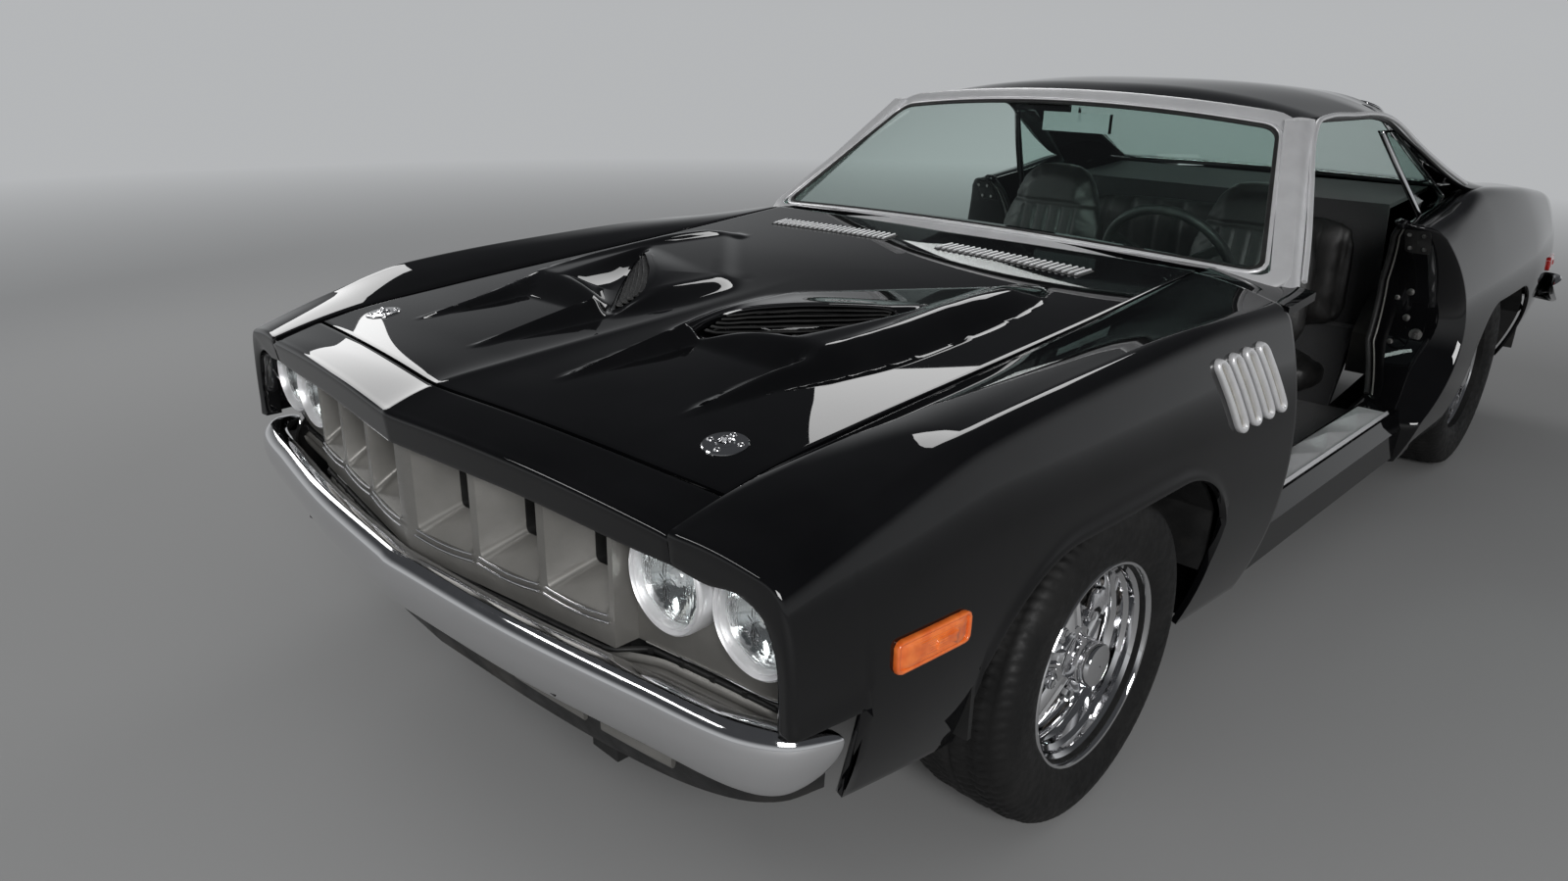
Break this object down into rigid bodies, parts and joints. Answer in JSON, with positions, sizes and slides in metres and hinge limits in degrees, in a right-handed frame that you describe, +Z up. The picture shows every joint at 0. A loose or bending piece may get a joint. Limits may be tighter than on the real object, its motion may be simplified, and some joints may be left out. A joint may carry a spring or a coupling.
{
  "type": "two-door muscle car",
  "caption": "Early-1970s two-door muscle car with its doors off, shut hood with twin swept scoops, slotted grille and bright wheels, parked on its tyres.",
  "frame": {"origin": "on the ground under the middle of the car", "axes": "+X to the car's left, -Y out of its nose, +Z up"},
  "size_m": [1.9162, 4.738, 1.3477],
  "materials": {
    "paint": "gloss black enamel, clear coated",
    "chrome": "bright chrome plate",
    "argent": "satin warm grey",
    "lamp_glass": "fluted clear glass over a bright reflector",
    "tinted_glass": "clear glass with a light green tint",
    "amber": "amber lens",
    "red": "red lens",
    "polished": "polished and embossed",
    "leather": "black grained hide",
    "black_plastic": "satin black",
    "chassis": "satin black",
    "carpet": "black loop carpet on the floor sheet",
    "iron": "cast iron, dark",
    "steel": "bare steel",
    "tyre": "black rubber",
    "mirror": "silvered glass"
  },
  "bodies": {
    "body": {"header_panel": "paint", "fenders": "paint", "gill_frames": "chrome", "quarter_panels": "paint", "tulip_panel": "paint", "tail_panel": "paint", "tail_lamps": "red", "roof": "paint", "cowl_panel": "paint", "windshield": "tinted_glass", "rear_glass": "tinted_glass", "grille": "argent", "headlamps": "lamp_glass", "front_bumper": "chrome", "rear_bumper": "chrome", "valances": "paint", "rockers": "paint", "sill_plates": "polished", "floor_pan": "carpet", "firewall": "chassis", "hinge_pillars": "paint", "package_shelf": "carpet", "dashboard": "black_plastic", "steering_column": "black_plastic", "front_seats": "leather", "rear_seat": "leather", "engine_block": "iron", "gearbox": "iron", "driveshaft": "steel", "rear_axle": "iron", "frame_rails": "chassis", "radiator_support": "chassis", "control_arms": "chassis", "leaf_springs": "steel", "exhaust": "steel", "fuel_tank": "steel", "wheel_houses": "chassis", "side_markers": "amber", "mirror_inside": "mirror"},
    "hood": {"hood": "paint"},
    "deck_lid": {"deck_lid": "paint"},
    "knuckle_left": {"knuckle_left": "iron"},
    "knuckle_right": {"knuckle_right": "iron"},
    "steering_link": {"steering_link": "steel"},
    "steering_wheel": {"steering_wheel": "black_plastic"},
    "wheel_front_left": {"rim_front_left": "chrome", "tyre_front_left": "tyre"},
    "wheel_front_right": {"rim_front_right": "chrome", "tyre_front_right": "tyre"},
    "wheel_rear_left": {"rim_rear_left": "chrome", "tyre_rear_left": "tyre"},
    "wheel_rear_right": {"rim_rear_right": "chrome", "tyre_rear_right": "tyre"}
  },
  "joints": [
    {"name": "hood_hinge", "type": "hinge", "parent": "body", "child": "hood", "pos_m": [0, -0.715, 0.934], "axis": [-1, 0, 0], "range_deg": [0, 50]},
    {"name": "deck_hinge", "type": "hinge", "parent": "body", "child": "deck_lid", "pos_m": [0, 1.427, 0.99], "axis": [1, 0, 0], "range_deg": [0, 65]},
    {"name": "steer_left", "type": "hinge", "parent": "body", "child": "knuckle_left", "pos_m": [0.72, -1.43, 0.329], "axis": [0, 0, 1], "range_deg": [-33, 33]},
    {"name": "steer_right", "type": "hinge", "parent": "body", "child": "knuckle_right", "pos_m": [-0.72, -1.43, 0.329], "axis": [0, 0, 1], "range_deg": [-33, 33]},
    {"name": "link_slide", "type": "slide", "parent": "body", "child": "steering_link", "axis": [1, 0, 0], "range_m": [-0.056, 0.056]},
    {"name": "steering_wheel_turn", "type": "hinge", "parent": "body", "child": "steering_wheel", "pos_m": [0.37, -0.175, 0.842], "axis": [0, 0.9135, 0.4067], "range_deg": [-530, 530]},
    {"name": "roll_front_left", "type": "hinge", "parent": "knuckle_left", "child": "wheel_front_left", "pos_m": [0.797, -1.43, 0.329], "axis": [1, 0, 0], "continuous": true},
    {"name": "roll_front_right", "type": "hinge", "parent": "knuckle_right", "child": "wheel_front_right", "pos_m": [-0.797, -1.43, 0.329], "axis": [1, 0, 0], "continuous": true},
    {"name": "roll_rear_left", "type": "hinge", "parent": "body", "child": "wheel_rear_left", "pos_m": [0.765, 1.313, 0.34], "axis": [1, 0, 0], "continuous": true},
    {"name": "roll_rear_right", "type": "hinge", "parent": "body", "child": "wheel_rear_right", "pos_m": [-0.765, 1.313, 0.34], "axis": [1, 0, 0], "continuous": true}
  ],
  "couplings": [
    {"joint": "steer_right", "follows": "steer_left", "ratio": 1},
    {"joint": "steering_wheel_turn", "follows": "steer_left", "ratio": 16},
    {"joint": "link_slide", "follows": "steer_left", "m_per_rad": -0.0945}
  ]
}
